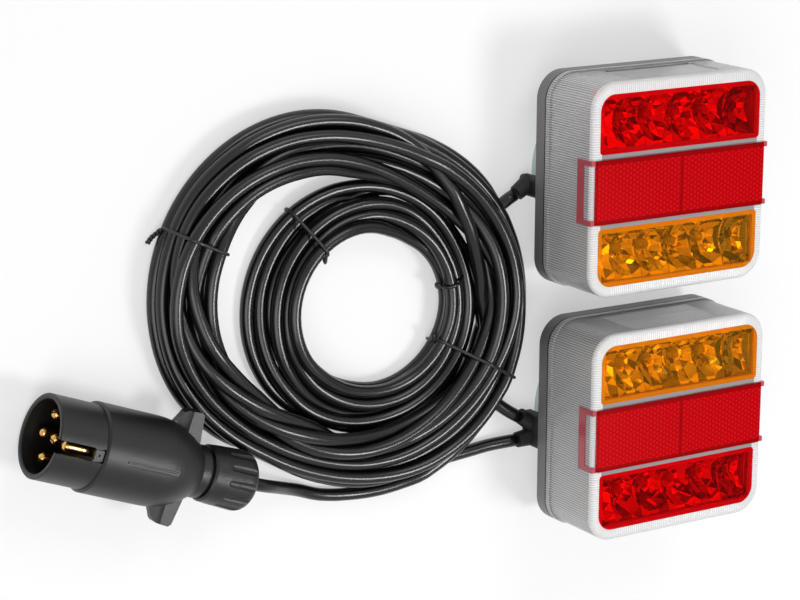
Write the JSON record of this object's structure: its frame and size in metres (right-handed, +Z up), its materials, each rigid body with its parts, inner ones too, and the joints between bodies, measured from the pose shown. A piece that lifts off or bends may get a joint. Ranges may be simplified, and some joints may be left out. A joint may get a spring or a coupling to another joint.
{
  "type": "magnetic towing light set",
  "caption": "Pair of square rear lamps on round pot magnets, face up, joined by a coiled cable, with a long coiled cable to a seven-pin towing plug.",
  "frame": {"origin": "on the floor, midway between the two lamps", "axes": "+Z up out of the lamps' faces, +Y along the line of the two lamps, +X away from the coiled cable"},
  "size_m": [0.3758, 0.2234, 0.0602],
  "materials": {
    "clear_lens": "clear, fluted sides",
    "red_lens": "clear red, gloss",
    "amber_lens": "clear amber, gloss",
    "reflex_red": "clear red over prisms",
    "bright_tray": "vacuum metallised",
    "circuit_board": "solder mask",
    "led_clear": "clear epoxy",
    "base_plastic": "moulded",
    "seal_rubber": "matt",
    "screw_steel": "zinc plated",
    "boot_rubber": "moulded",
    "cup_steel": "bright zinc plated",
    "ferrite": "ground",
    "plate_board": "solder mask",
    "plate_led": "silicone over white ceramic",
    "plug_plastic": "fine spark texture",
    "pin_brass": "turned",
    "cable_pvc": "smooth, satin",
    "tie_wire": "plastic over wire"
  },
  "bodies": {
    "root": {"left_lens": "clear_lens", "left_red_window": "red_lens", "left_amber_window": "amber_lens", "left_reflex_reflector": "reflex_red", "left_reflector_tray": "bright_tray", "left_circuit_board": "circuit_board", "left_red_leds": "led_clear", "left_amber_leds": "led_clear", "left_base": "base_plastic", "left_seal": "seal_rubber", "left_lens_screws": "screw_steel", "left_cable_boot": "boot_rubber", "left_magnet_cup": "cup_steel", "left_magnet_ring": "ferrite", "left_magnet_screw": "screw_steel", "left_magnet_nut": "screw_steel", "plate_board": "plate_board", "plate_leds": "plate_led", "right_lens": "clear_lens", "right_red_window": "red_lens", "right_amber_window": "amber_lens", "right_reflex_reflector": "reflex_red", "right_reflector_tray": "bright_tray", "right_circuit_board": "circuit_board", "right_red_leds": "led_clear", "right_amber_leds": "led_clear", "right_base": "base_plastic", "right_seal": "seal_rubber", "right_lens_screws": "screw_steel", "right_cable_boot": "boot_rubber", "right_magnet_cup": "cup_steel", "right_magnet_ring": "ferrite", "right_magnet_screw": "screw_steel", "right_magnet_nut": "screw_steel", "plug_sleeve": "plug_plastic", "plug_shell_left": "plug_plastic", "plug_shell_right": "plug_plastic", "plug_pin_1": "pin_brass", "plug_pin_2": "pin_brass", "plug_pin_3": "pin_brass", "plug_pin_4": "pin_brass", "plug_pin_5": "pin_brass", "plug_pin_6": "pin_brass", "plug_pin_7": "pin_brass", "plug_terminal_screws": "screw_steel", "plug_cable_clamp": "plug_plastic", "gland_seal": "seal_rubber", "gland_nut": "plug_plastic", "main_lead_plug_end": "cable_pvc", "main_coil": "cable_pvc", "main_lead_lamp_end": "cable_pvc", "link_lead_left_end": "cable_pvc", "link_coil": "cable_pvc", "link_lead_right_end": "cable_pvc", "coil_tie_left": "tie_wire", "coil_tie_right": "tie_wire", "coil_tie_inner_left": "tie_wire", "coil_tie_inner_right": "tie_wire"}
  },
  "joints": []
}
